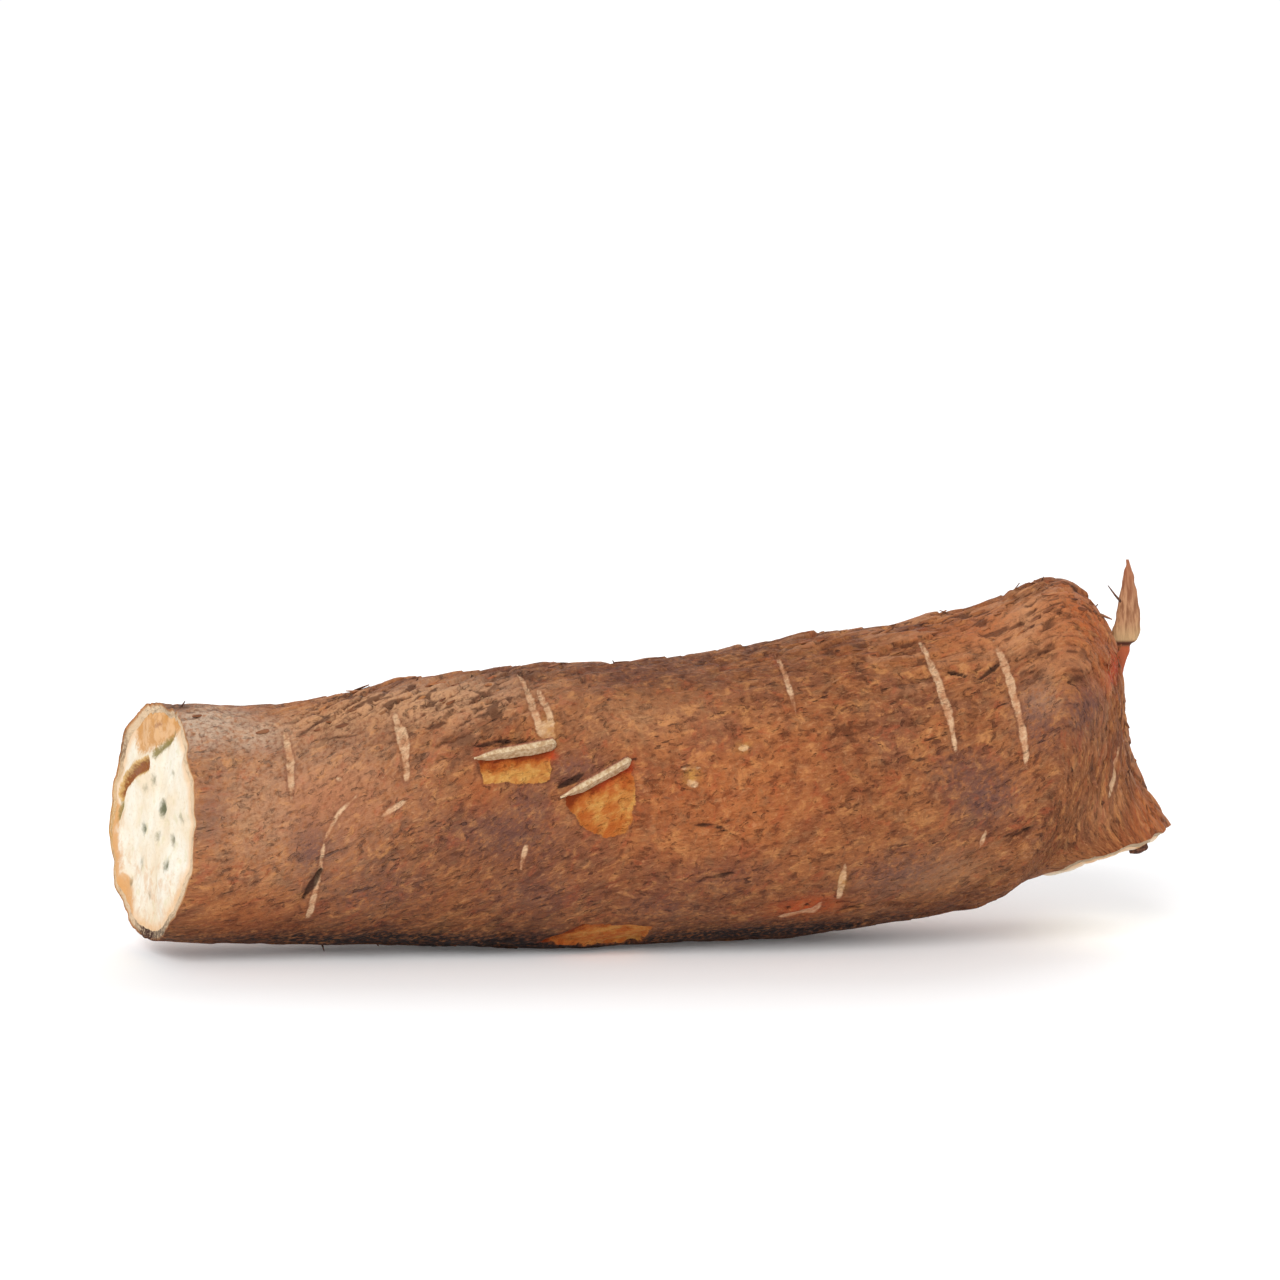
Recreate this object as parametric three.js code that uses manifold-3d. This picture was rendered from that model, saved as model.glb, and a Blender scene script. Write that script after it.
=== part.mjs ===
// A cassava root: one thick, slightly bowed storage root, chopped through at its blunt end
// and again, slantwise, at the short neck where it left the plant. It lies on its side.
//
// Millimetres. +X runs along the root towards the neck, +Z is up. The origin is on the
// ground, under the middle of the root's box.

import * as THREE from "three";
import { mergeVertices } from "three/addons/utils/BufferGeometryUtils.js";
import Module from "manifold-3d";

// ---- driving dimensions ----
const LENGTH = 258; // from the blunt cut's edge to the tip of the neck
const GIRTH = 72; // diameter of the body
const BOW = 3; // how far the middle bows back from the two ends
const REST_DEPTH = 0.7; // how much of the underside is pressed flat on the ground
const RIDGE = 0.011 * GIRTH; // height of the broad ridges that run along the body

const RINGS_PER_SECTION = 4;
const POINTS_PER_RING = 36;

const SKIN = { color: 0x93613f, roughness: 0.85, metalness: 0 };

// The outline from the side. Each section pairs a point under the root with the point over
// it: parts of LENGTH from the blunt end, then parts of GIRTH above the ground. deep is half
// the section's depth in parts of GIRTH, and turn swings it about its own height, in degrees.
// The first and last sections lie in the two cuts.
const SECTIONS = [
  { under: [0.031, 0.064], over: [0.050, 0.839], deep: 0.381, turn: 21.5 }, // blunt cut
  { under: [0.090, 0.049], over: [0.097, 0.826], deep: 0.382, turn: 10 },
  { under: [0.173, 0.036], over: [0.173, 0.836], deep: 0.389, turn: 1 },
  { under: [0.266, 0.025], over: [0.266, 0.903], deep: 0.426, turn: 0 },
  { under: [0.360, 0.004], over: [0.360, 0.943], deep: 0.456, turn: 0 },
  { under: [0.455, -0.007], over: [0.455, 0.954], deep: 0.467, turn: 0 }, // rests here
  { under: [0.550, -0.008], over: [0.550, 0.983], deep: 0.476, turn: 0 },
  { under: [0.644, 0.008], over: [0.644, 1.039], deep: 0.489, turn: 0 },
  { under: [0.737, 0.061], over: [0.742, 1.075], deep: 0.482, turn: 0 },
  { under: [0.801, 0.115], over: [0.821, 1.138], deep: 0.482, turn: 0 },
  { under: [0.827, 0.142], over: [0.889, 1.225], deep: 0.490, turn: 0 }, // top of the shoulder
  { under: [0.833, 0.151], over: [0.928, 1.106], deep: 0.456, turn: -1.5 },
  { under: [0.840, 0.165], over: [0.946, 0.922], deep: 0.408, turn: -3.5 },
  { under: [0.846, 0.178], over: [0.955, 0.711], deep: 0.375, turn: -5.5 }, // waist of the neck
  { under: [0.854, 0.192], over: [0.972, 0.539], deep: 0.356, turn: -8 },
  { under: [0.866, 0.204], over: [0.999, 0.372], deep: 0.356, turn: -11 }, // neck cut
];

// A torn strip of bark that stands up from the shoulder, above the neck: its outline from the
// side, in the same parts of LENGTH and GIRTH. The first and last points are inside the body.
const SPLINTER = [
  [0.934, 0.80],
  [0.951, 0.80],
  [0.963, 1.00],
  [0.968, 1.06],
  [0.966, 1.13],
  [0.956, 1.29], // tip
  [0.950, 1.18],
  [0.946, 1.07],
  [0.940, 0.99],
  [0.928, 0.94],
];
const SPLINTER_THICKNESS = 2.2;
const SPLINTER_SIDE = -2.5; // it stands a little in front of the shoulder's crest

const alongX = (part) => (part - 0.5) * LENGTH;
const degrees = (angle) => (angle * Math.PI) / 180;

// ---- the body ----

// Catmull-Rom through a list of equal-length rows of numbers.
function blendRows(rows, t) {
  const span = Math.min(Math.floor(t), rows.length - 2);
  const f = t - span;
  const row = (i) => rows[THREE.MathUtils.clamp(i, 0, rows.length - 1)];
  const [a, b, c, d] = [row(span - 1), row(span), row(span + 1), row(span + 2)];
  return b.map((_, k) => 0.5 * (2 * b[k] + (c[k] - a[k]) * f
    + (2 * a[k] - 5 * b[k] + 4 * c[k] - d[k]) * f * f
    + (3 * b[k] - a[k] - 3 * c[k] + d[k]) * f * f * f));
}

// Broad, uneven ridges, as a fraction of the section's size.
function ridges(part, angle) {
  const waves = 0.45 * Math.sin(2 * angle + 7 * part)
    + 0.35 * Math.sin(3 * angle - 11 * part + 1)
    + 0.20 * Math.cos(5 * angle + 17 * part);
  return (waves * RIDGE) / (GIRTH / 2);
}

// One ring of points, starting at the top and going round by the back.
function ringPoints(t) {
  const rows = SECTIONS.map((s) => [...s.under, ...s.over, s.deep, s.turn]);
  const [underX, underZ, overX, overZ, deep, turn] = blendRows(rows, t);
  const part = (underX + overX) / 2;
  const bow = BOW * (Math.sin(Math.PI * part) ** 2 - 0.5);
  const under = new THREE.Vector3(alongX(underX), bow, underZ * GIRTH);
  const over = new THREE.Vector3(alongX(overX), bow, overZ * GIRTH);
  const centre = under.clone().add(over).multiplyScalar(0.5);
  const halfTall = over.clone().sub(centre);
  const halfDeep = new THREE.Vector3(0, deep * GIRTH, 0)
    .applyAxisAngle(halfTall.clone().normalize(), degrees(turn));
  const points = [];
  for (let j = 0; j < POINTS_PER_RING; j += 1) {
    const angle = (2 * Math.PI * j) / POINTS_PER_RING;
    const size = 1 + ridges(part, angle);
    points.push(centre.clone()
      .addScaledVector(halfTall, size * Math.cos(angle))
      .addScaledVector(halfDeep, size * Math.sin(angle)));
  }
  return points;
}

function middleOf(points) {
  const sum = points.reduce((total, p) => total.add(p), new THREE.Vector3());
  return sum.divideScalar(points.length);
}

// Skin between the rings, and a flat fan of triangles across each cut.
function bodyGeometry() {
  const ringCount = (SECTIONS.length - 1) * RINGS_PER_SECTION + 1;
  const rings = Array.from({ length: ringCount }, (_, i) => ringPoints(i / RINGS_PER_SECTION));
  const last = ringCount - 1;
  const points = [...rings.flat(), middleOf(rings[0]), middleOf(rings[last])];
  const bluntMiddle = points.length - 2;
  const neckMiddle = points.length - 1;
  const at = (i, j) => i * POINTS_PER_RING + (j % POINTS_PER_RING);
  const faces = [];
  for (let j = 0; j < POINTS_PER_RING; j += 1) {
    for (let i = 0; i < last; i += 1) {
      faces.push(at(i, j), at(i + 1, j), at(i + 1, j + 1));
      faces.push(at(i, j), at(i + 1, j + 1), at(i, j + 1));
    }
    faces.push(bluntMiddle, at(0, j), at(0, j + 1));
    faces.push(neckMiddle, at(last, j + 1), at(last, j));
  }
  const geometry = new THREE.BufferGeometry().setFromPoints(points);
  geometry.setIndex(faces);
  return geometry;
}

// ---- the splinter and the flat it rests on ----

function splinterGeometry() {
  const outline = SPLINTER.map(([x, z]) => new THREE.Vector2(alongX(x), z * GIRTH));
  const geometry = new THREE.ExtrudeGeometry(new THREE.Shape(outline), {
    depth: SPLINTER_THICKNESS,
    bevelEnabled: false,
  });
  geometry.rotateX(Math.PI / 2);
  geometry.translate(0, SPLINTER_SIDE + SPLINTER_THICKNESS / 2, 0);
  return geometry;
}

// Everything below the ground, to be cut away from the underside.
function groundGeometry() {
  const geometry = new THREE.BoxGeometry(1.5 * LENGTH, 2 * GIRTH, GIRTH);
  geometry.translate(0, 0, -GIRTH / 2);
  return geometry;
}

// ---- joining, and the finished mesh ----

const wasm = await Module();
wasm.setup();

function toSolid(geometry) {
  const bare = geometry.clone();
  bare.deleteAttribute("normal");
  bare.deleteAttribute("uv");
  const merged = mergeVertices(bare, 1e-4);
  return new wasm.Manifold(new wasm.Mesh({
    numProp: 3,
    vertProperties: new Float32Array(merged.getAttribute("position").array),
    triVerts: new Uint32Array(merged.getIndex().array),
  }));
}

function toGeometry(solid) {
  const mesh = solid.getMesh();
  const geometry = new THREE.BufferGeometry();
  geometry.setAttribute("position", new THREE.BufferAttribute(mesh.vertProperties, 3));
  geometry.setIndex(new THREE.BufferAttribute(mesh.triVerts, 1));
  geometry.computeVertexNormals();
  return geometry;
}

function rootGeometry() {
  const body = bodyGeometry();
  body.computeBoundingBox();
  body.translate(0, 0, -body.boundingBox.min.z - REST_DEPTH);
  const whole = toSolid(body).add(toSolid(splinterGeometry()));
  const geometry = toGeometry(whole.subtract(toSolid(groundGeometry())));
  geometry.computeBoundingBox();
  const { min, max } = geometry.boundingBox;
  geometry.translate(-(min.x + max.x) / 2, -(min.y + max.y) / 2, 0);
  return geometry;
}

const cassavaRoot = new THREE.Mesh(rootGeometry(), new THREE.MeshStandardMaterial(SKIN));
cassavaRoot.name = "cassava_root";

const group = new THREE.Group();
group.add(cassavaRoot);

export default group;
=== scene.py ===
"""A cassava root on a pale floor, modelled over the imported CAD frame.

The skin is one closed grid of rings, lofted through the same sections as the CAD body and
then roughened: lumps, bark scales, cracks, knife scars and peeled patches. The flesh in the
two cuts, the lifted flaps of peel, the splinter, the loose flakes, the rootlets and a nub
under the neck are separate pieces. Everything is in metres, in the frame's axes; what is
named as being in mm is multiplied by MM where it is used.
"""

import itertools
import math

import bpy
import numpy as np
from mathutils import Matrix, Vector


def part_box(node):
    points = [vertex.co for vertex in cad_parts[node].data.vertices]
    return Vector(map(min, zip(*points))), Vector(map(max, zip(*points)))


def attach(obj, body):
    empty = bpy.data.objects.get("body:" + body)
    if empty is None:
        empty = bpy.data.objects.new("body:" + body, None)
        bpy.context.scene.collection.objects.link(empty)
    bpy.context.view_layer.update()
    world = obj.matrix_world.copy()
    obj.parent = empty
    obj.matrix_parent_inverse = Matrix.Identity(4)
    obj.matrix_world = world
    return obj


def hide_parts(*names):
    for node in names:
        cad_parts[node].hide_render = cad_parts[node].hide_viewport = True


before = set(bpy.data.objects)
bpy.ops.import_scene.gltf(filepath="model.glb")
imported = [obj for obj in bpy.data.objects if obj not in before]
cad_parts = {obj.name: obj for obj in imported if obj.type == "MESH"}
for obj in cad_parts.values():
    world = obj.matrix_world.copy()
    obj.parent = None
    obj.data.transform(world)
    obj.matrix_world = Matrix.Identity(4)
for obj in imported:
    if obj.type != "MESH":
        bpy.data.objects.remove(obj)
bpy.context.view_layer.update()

# ---- driving sizes ----

MM = 0.001
NODE = "cassava_root"
BOX_LOW, BOX_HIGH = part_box(NODE)
BOX_SIZE = BOX_HIGH - BOX_LOW

GIRTH_SHARE = 72 / 258  # body diameter over length, as in the CAD
BOW_SHARE = 3 / 258
REST_SHARE = 0.7 / 258
RIDGE = 0.022  # broad ridges, as a share of a section's size

CLIMB, LEVEL = 0.36, 0.05  # how steeply the grain climbs the front, near the blunt end and beyond
CLIMB_END = 100 * MM
GIRTH_RADIUS = 35 * MM

RING_COUNT = 384
RING_POINTS = 248
LOFT_STEPS = 4000  # fine steps that the rings are spaced out over
PATCH_REACH = 12 * MM  # how far from its plane a peeled patch still marks the skin
FAR_OUTSIDE = -2.0  # how far in mm a point away from every scar counts as inside one
FLAKE_COUNT = 260
FLAKE_SEED = 7

PEEL = 2.3 * MM  # thickness of the rind round the flesh
RECESS = 4.5 * MM  # depth of the hollow for the flesh in each cut
SKIN_THICKNESS = 0.18 * MM
RIM_INSETS = [1, 0.72, 0.42, 0.2]  # parts of the rind's thickness, from the flesh outwards
RIM_MARKS = [1, *RIM_INSETS, 0.08]  # the same for each ring of the rim, for its colour
RIM_PINCH = 0.12  # how much the pattern shrinks over the rim, so that it doesn't streak
GAP = 0.02 * MM  # between the flesh and the rind
PLUG = 0.9 * RECESS  # thickness of the flesh
FLESH_RINGS = 80

CAMERA_AZIMUTH = -6.5
CAMERA_ELEVATION = 7.5
CAMERA_DISTANCE = 3.5 * BOX_SIZE.x
CAMERA_LENS = 105
AIM = Vector((-0.009 * BOX_SIZE.x, -0.004 * BOX_SIZE.x, 0.8 * BOX_SIZE.z))

# Under x, z and over x, z of each section, its half depth and its turn: see the CAD.
SECTIONS = np.array([
    [0.031, 0.064, 0.050, 0.839, 0.381, 21.5],  # blunt cut
    [0.090, 0.049, 0.097, 0.826, 0.382, 10],
    [0.173, 0.036, 0.173, 0.836, 0.389, 1],
    [0.266, 0.025, 0.266, 0.903, 0.426, 0],
    [0.360, 0.004, 0.360, 0.943, 0.456, 0],
    [0.455, -0.007, 0.455, 0.954, 0.467, 0],
    [0.550, -0.008, 0.550, 0.983, 0.476, 0],
    [0.644, 0.008, 0.644, 1.039, 0.489, 0],
    [0.737, 0.061, 0.742, 1.075, 0.482, 0],
    [0.801, 0.115, 0.821, 1.138, 0.482, 0],
    [0.827, 0.142, 0.889, 1.225, 0.490, 0],  # top of the shoulder
    [0.833, 0.151, 0.928, 1.106, 0.456, -1.5],
    [0.840, 0.165, 0.946, 0.922, 0.408, -3.5],
    [0.846, 0.178, 0.955, 0.711, 0.375, -5.5],  # waist of the neck
    [0.854, 0.192, 0.972, 0.539, 0.356, -8],
    [0.866, 0.204, 0.999, 0.372, 0.356, -11],  # neck cut
])

# Places on the skin are (along, down): the part of the length from the blunt end, and the
# degrees from the crest down the front, where 90 faces the camera and 180 is the underside.
# Each scar has half its width in mm, then its places.
SCARS = [
    (0.9, [(0.156, 29), (0.159, 47), (0.159, 69)]),
    (1.1, [(0.258, 32), (0.265, 48), (0.267, 68)]),
    (0.7, [(0.374, 12), (0.384, 36), (0.392, 54)]),
    (0.8, [(0.391, 27), (0.399, 42), (0.401, 57)]),
    (1.9, [(0.390, 46), (0.400, 53)]),
    (0.7, [(0.615, 15), (0.620, 36), (0.623, 52)]),
    (0.9, [(0.745, 22), (0.756, 50), (0.766, 77)]),
    (1.0, [(0.806, 32), (0.816, 58), (0.831, 89)]),
    (0.7, [(0.897, 42), (0.904, 67)]),
    (0.7, [(0.191, 90), (0.185, 108), (0.174, 134)]),
    (0.5, [(0.374, 96), (0.368, 109)]),
    (0.8, [(0.667, 112), (0.664, 129)]),
    (0.5, [(0.799, 108), (0.794, 121)]),
    (0.6, [(0.243, 81), (0.266, 75)]),
    (0.5, [(0.190, 90), (0.203, 78), (0.222, 70)]),
    (0.5, [(0.516, 68.5), (0.526, 67.5), (0.538, 69.5)]),
    (1.1, [(0.521, 73), (0.529, 74.5)]),
    (0.7, [(0.570, 62), (0.578, 63)]),
    (1.2, [(0.611, 136.5), (0.628, 135.5), (0.643, 134.5), (0.649, 130)]),
    (0.5, [(0.204, 61), (0.208, 62)]),
    (0.5, [(0.243, 63), (0.247, 65)]),
    (0.8, [(0.21, 205), (0.22, 240)]),
    (0.9, [(0.45, 230), (0.46, 275)]),
    (0.8, [(0.58, 300), (0.585, 335)]),
    (0.9, [(0.70, 245), (0.71, 290)]),
    (0.7, [(0.33, 290), (0.34, 325)]),
]
# Deep notches, given in the same way. The material paints them near-black: their own dark and partly painted
# shade in the groove.
NOTCHES = [
    (0.75, [(0.188, 103), (0.179, 111), (0.170, 119)]),
    (0.7, [(0.372, 13), (0.378, 16)]),
    (0.35, [(0.812, 113), (0.832, 116), (0.852, 114)]),
    (0.5, [(0.326, 54.5), (0.352, 52.5), (0.378, 53.5)]),
    (0.6, [(0.403, 73), (0.418, 70), (0.428, 67)]),
    (0.5, [(0.472, 62.5), (0.476, 63)]),
    (0.7, [(0.763, 41), (0.780, 47)]),
    (0.75, [(0.789, 49.5), (0.808, 44.5)]),
    (0.3, [(0.519, 70.5), (0.535, 71)]),
    (0.5, [(0.615, 131), (0.620, 131)]),
    (0.5, [(0.633, 130.5), (0.637, 130.5)]),
    (0.35, [(0.535, 112), (0.565, 110)]),
    (0.4, [(0.664, 137), (0.690, 134)]),
    (0.4, [(0.520, 89), (0.548, 91), (0.563, 95)]),
]
# Short dark splits where the bark is torn: above the blunt end, and on the shoulder.
SPLITS = [
    (0.55, places) for places in (
        [(0.251, 26), (0.267, 23), (0.276, 23)], [(0.290, 30), (0.298, 27)],
        [(0.301, 34), (0.312, 31)], [(0.312, 45), (0.329, 41)], [(0.171, 33), (0.199, 22)],
        [(0.292, 44), (0.306, 41)], [(0.212, 23), (0.240, 18), (0.265, 20)],
        [(0.190, 38), (0.226, 41)], [(0.326, 23), (0.354, 27)], [(0.833, 30), (0.840, 29)],
        [(0.847, 31), (0.854, 31)], [(0.796, 16), (0.806, 14)], [(0.812, 34), (0.820, 34)],
        [(0.852, 50), (0.867, 52)], [(0.857, 63), (0.870, 58)], [(0.818, 51), (0.838, 55)],
        [(0.835, 48), (0.842, 48)], [(0.727, 26), (0.743, 34)],
    )
]
# Peeled patches: how far each is darkened to deep red-orange all over, and its corners from the lifted side
# on. Near the lifted side the material paints the shadow of the peel over them.
PATCHES = {
    "upper": (0.0, [(0.330, 60), (0.402, 56), (0.396, 71), (0.336, 71)]),
    "lower": (0.36, [(0.408, 77), (0.470, 64), (0.476, 78), (0.466, 92), (0.445, 93), (0.424, 88)]),
    "under": (0.40, [(0.388, 152), (0.427, 136), (0.494, 138), (0.486, 158)]),
    "neck": (0.4, [(0.898, 2), (0.898, 22), (0.906, 18), (0.908, 2)]),
}
# Tinted areas by name: strength, along, down, and reach along the root and round it in mm.
TINTS = {
    "grey": [
        (1.3, 0.07, 20, 12, 10), (1.0, 0.125, 30, 10, 7), (0.8, 0.05, 8, 8, 8), (0.5, 0.3, 22, 22, 9),
        (0.35, 0.165, 60, 26, 22), (0.3, 0.838, 66, 5, 4),
    ],
    "tan": [
        (0.8, 0.215, 24, 20, 9), (0.9, 0.29, 28, 20, 8), (0.35, 0.11, 72, 14, 14),
        (0.35, 0.21, 60, 14, 10), (0.9, 0.83, 27, 16, 10), (0.6, 0.76, 126, 12, 6),
        (0.2, 0.905, 74, 5, 8), (0.35, 0.48, 44, 20, 8),
    ],
    "mauve": [
        (0.9, 0.794, 95, 9, 8), (0.9, 0.875, 68, 6, 8), (0.8, 0.36, 92, 14, 9), (0.8, 0.42, 66, 6, 4),
        (0.5, 0.06, 75, 4, 7), (0.8, 0.72, 120, 14, 7), (0.5, 0.55, 112, 14, 6), (0.5, 0.48, 20, 10, 5),
        (0.7, 0.375, 84, 7, 9), (0.6, 0.385, 118, 16, 9), (0.9, 0.178, 92, 5, 6),
        (0.6, 0.235, 118, 14, 8), (0.8, 0.835, 74, 6, 7), (0.7, 0.77, 84, 8, 6), (0.6, 0.5, 126, 12, 6),
    ],
    "rust": [
        (0.9, 0.867, 30, 13, 12), (0.6, 0.925, 45, 6, 16), (0.7, 0.8, 22, 12, 9), (0.4, 0.2, 70, 12, 8),
        (0.4, 0.55, 80, 30, 16), (0.5, 0.12, 140, 14, 10), (1.2, 0.632, 132, 8, 4),
        (0.5, 0.335, 74, 5, 4),
    ],
    "red": [
        (0.5, 0.635, 131, 7, 3), (1.2, 0.888, 34, 3, 8), (0.9, 0.89, 20, 3, 5),
        (0.6, 0.45, 72, 3.5, 1.6), (0.9, 0.399, 60, 1.5, 1.5), (0.7, 0.468, 66, 2.0, 1.8),
    ],
    "gold": [
        (0.8, 0.525, 71, 1.9, 1.8), (0.6, 0.574, 62, 1.6, 1.3), (0.9, 0.036, 250, 4, 16),
        (0.5, 0.397, 49, 2.0, 4.0), (0.5, 0.666, 120, 1.2, 3.0),
    ],
    # Painted shade: a near-black band along the lower front and underside, where the root meets the floor.
    "dark": [
        (1.5, 0.33, 156, 88, 8), (1.5, 0.59, 154, 44, 7.5),
    ],
    # Painted shade over the crest, the right side, the lower front and the underside. The three small areas
    # at the blunt cut are its dark crust; the lowest of them is also painted shade at the floor.
    "shade": [
        (0.8, 0.5, 8, 42, 9), (0.5, 0.6, 22, 26, 8), (0.6, 0.51, 24, 22, 7), (0.3, 0.72, 92, 26, 18),
        (0.3, 0.315, 128, 26, 10), (1.1, 0.35, 172, 90, 12), (1.1, 0.66, 172, 60, 12),
        (0.55, 0.45, 150, 95, 16), (0.45, 0.8, 145, 40, 14), (0.4, 0.56, 124, 24, 10),
        (0.35, 0.36, 105, 22, 14), (1.2, 0.055, 0, 3, 4), (1.6, 0.036, 176, 5, 7),
        (0.8, 0.037, 300, 3, 5),
    ],
}
FLAPS = {
    "peel_flap_upper": [(0.328, 60), (0.352, 58.5), (0.380, 57), (0.403, 55)],
    "peel_flap_lower": [(0.405, 77), (0.425, 73), (0.448, 68), (0.471, 63)],
}


# ---- noise ----

AXIS_PRIMES = (73856093, 19349663, 83492791)
SEED_PRIME = 668265263
SCRAMBLES = ((15, 2246822519), (13, 3266489917))  # a shift to the right, then a factor
LOW_BITS = 0xFFFFFFFF


def lattice(cell, seed):
    """A steady random number from -1 to 1 for each whole-numbered cell. Different seeds give
    different numbers, here and in all the noise below."""
    x, y, z = (cell[..., axis] * prime for axis, prime in enumerate(AXIS_PRIMES))
    n = (x ^ y ^ z ^ seed * SEED_PRIME) & LOW_BITS
    for shift, factor in SCRAMBLES:
        n = ((n ^ (n >> shift)) * factor) & LOW_BITS
    return (n ^ (n >> 16)) / (LOW_BITS >> 1) - 1.0


def noise(points, size, seed):
    """Smooth noise, about -1 to 1, with lumps about size mm across."""
    spot = points / (size * MM)
    cell = np.floor(spot).astype(np.int64)
    f = spot - cell
    f = f * f * f * (f * (6 * f - 15) + 10)
    total = np.zeros(points.shape[:-1])
    for corner in itertools.product((0, 1), repeat=3):
        weight = np.prod(np.where(corner, f, 1 - f), axis=-1)
        total += weight * lattice(cell + np.array(corner), seed)
    return total


def cells(points, size, seed):
    """Cells about size mm across, each round a random middle. For each point: how far it is
    past its cell's middle along the first axis, the room left to the border with the next
    cell, and the cell's own random number."""
    spot = points / (size * MM)
    home = np.floor(spot).astype(np.int64)
    best = np.full(points.shape[:-1], 9.0)
    second = best.copy()
    along = np.zeros_like(best)
    number = np.zeros_like(best)
    for corner in itertools.product((-1, 0, 1), repeat=3):
        cell = home + np.array(corner)
        jitter = np.stack([lattice(cell, seed + k) for k in range(3)], axis=-1)
        away = cell + 0.5 + 0.42 * jitter - spot
        distance = length(away)
        nearer = distance < best
        second = np.where(nearer, best, np.minimum(second, distance))
        along = np.where(nearer, -away[..., 0], along)
        number = np.where(nearer, lattice(cell, seed + 3), number)
        best = np.where(nearer, distance, best)
    return along, second - best, number


def near(value, middle, spread):
    """1 at middle, falling smoothly to nothing a few spreads away."""
    return np.exp(-(((value - middle) / spread) ** 2))


def ease(value, low, high):
    """0 below low, 1 above high and smooth between."""
    f = np.clip((value - low) / (high - low), 0, 1)
    return f * f * (3 - 2 * f)


def length(vectors):
    return np.linalg.norm(vectors, axis=-1)


def unit(vectors):
    return vectors / np.maximum(length(vectors), 1e-12)[..., None]


# ---- the loft ----

def blend_rows(rows, t):
    """Catmull-Rom through rows of numbers, at each t."""
    span = np.minimum(t.astype(int), len(rows) - 2)
    f = (t - span)[:, None]
    a, b, c, d = (rows[np.clip(span + k, 0, len(rows) - 1)] for k in (-1, 0, 1, 2))
    return 0.5 * (
        2 * b + (c - a) * f + (2 * a - 5 * b + 4 * c - d) * f**2 + (3 * b - a - 3 * c + d) * f**3
    )


def section_axes(t):
    """Along part, centre, half-height vector and half-depth vector of the sections at t,
    for a root one unit long."""
    under_x, under_z, over_x, over_z, deep, turn = blend_rows(SECTIONS, t).T
    along = (under_x + over_x) / 2
    bow = BOW_SHARE * (np.sin(np.pi * along) ** 2 - 0.5)
    under = np.stack([under_x - 0.5, bow, under_z * GIRTH_SHARE], axis=1)
    over = np.stack([over_x - 0.5, bow, over_z * GIRTH_SHARE], axis=1)
    tall = (over - under) / 2
    up = unit(tall)
    turn = np.radians(turn)
    back = np.stack([-np.sin(turn) * up[:, 2], np.cos(turn), np.sin(turn) * up[:, 0]], axis=1)
    return along, (under + over) / 2, tall, back * (deep * GIRTH_SHARE)[:, None]


def ridges(along, angle):
    """The CAD body's broad ridges, as a share of the section's size."""
    waves = 0.45 * np.sin(2 * angle + 7 * along)
    waves += 0.35 * np.sin(3 * angle - 11 * along + 1)
    return RIDGE * (waves + 0.20 * np.cos(5 * angle + 17 * along))


class Loft:
    """The smooth body in place: a grid of points, and what the roughening needs to know."""

    def __init__(self):
        dense = np.linspace(0, len(SECTIONS) - 1, LOFT_STEPS)
        _, centre, tall, _ = section_axes(dense)
        steps = length(np.diff(centre + tall, axis=0))
        run = np.concatenate([[0], np.cumsum(steps)])
        t = np.interp(np.linspace(0, run[-1], RING_COUNT), run, dense)
        self.along, centre, tall, deep = section_axes(t)
        self.angle = np.linspace(0, 2 * np.pi, RING_POINTS, endpoint=False)
        self.down = (360 - np.degrees(self.angle)) % 360
        size = 1 + ridges(self.along[:, None], self.angle)
        points = centre[:, None] + (size * np.cos(self.angle))[..., None] * tall[:, None]
        points = points + (size * np.sin(self.angle))[..., None] * deep[:, None]
        scale = BOX_SIZE.x / np.ptp(points[..., 0])
        points = points * scale
        low, high = points.min(axis=(0, 1)), points.max(axis=(0, 1))
        middle = (np.array(BOX_LOW) + np.array(BOX_HIGH)) / 2
        shift = middle - (low + high) / 2
        shift[2] = BOX_LOW.z - REST_SHARE * scale - low[2]
        self.points = points + shift
        self.centre = centre * scale + shift
        self.up = unit(tall)
        self.back = unit(deep)
        self.forward = np.cross(self.back, self.up)
        self.flow = self.flow_places(size, tall * scale, deep * scale)

    def flow_places(self, size, tall, deep):
        """A place for each point in a straightened root, twisted so that its first axis
        follows the grain of the bark, which climbs the front towards the neck."""
        steps = length(np.diff(self.points, axis=0))
        run = np.concatenate([np.zeros((1, RING_POINTS)), np.cumsum(steps, axis=0)])
        twist = (CLIMB * np.minimum(run, CLIMB_END) + LEVEL * np.maximum(run - CLIMB_END, 0)) / GIRTH_RADIUS
        self.slope = np.where(run < CLIMB_END, CLIMB, LEVEL)
        angle = self.angle - twist
        half_tall = size * length(tall)[:, None]
        half_deep = size * length(deep)[:, None]
        return np.stack([run, half_deep * np.sin(angle), half_tall * np.cos(angle)], axis=-1)

    def spot(self, place, grid):
        """What grid holds at a place given as (along, down)."""
        i = np.interp(place[0], self.along, np.arange(RING_COUNT))
        j = (-place[1] % 360) / 360 * RING_POINTS
        i0, j0 = min(int(i), RING_COUNT - 2), int(j) % RING_POINTS
        fi, fj = i - i0, j - int(j)
        j1 = (j0 + 1) % RING_POINTS
        low = grid[i0, j0] * (1 - fj) + grid[i0, j1] * fj
        high = grid[i0 + 1, j0] * (1 - fj) + grid[i0 + 1, j1] * fj
        return low * (1 - fi) + high * fi

    def trace(self, places, grid, count=None):
        """What grid holds along a line through places: at count spots, or in short steps."""
        spans = len(places) - 1
        share = np.linspace(0, spans, count or 12 * spans + 1)
        steps = [np.interp(share, range(len(places)), column) for column in zip(*places)]
        return [self.spot(place, grid) for place in zip(*steps)]


def grid_normals(points):
    """Outward normals of a grid of rings."""
    along = np.gradient(points, axis=0)
    around = np.roll(points, -1, axis=1) - np.roll(points, 1, axis=1)
    return unit(np.cross(along, around))


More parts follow.
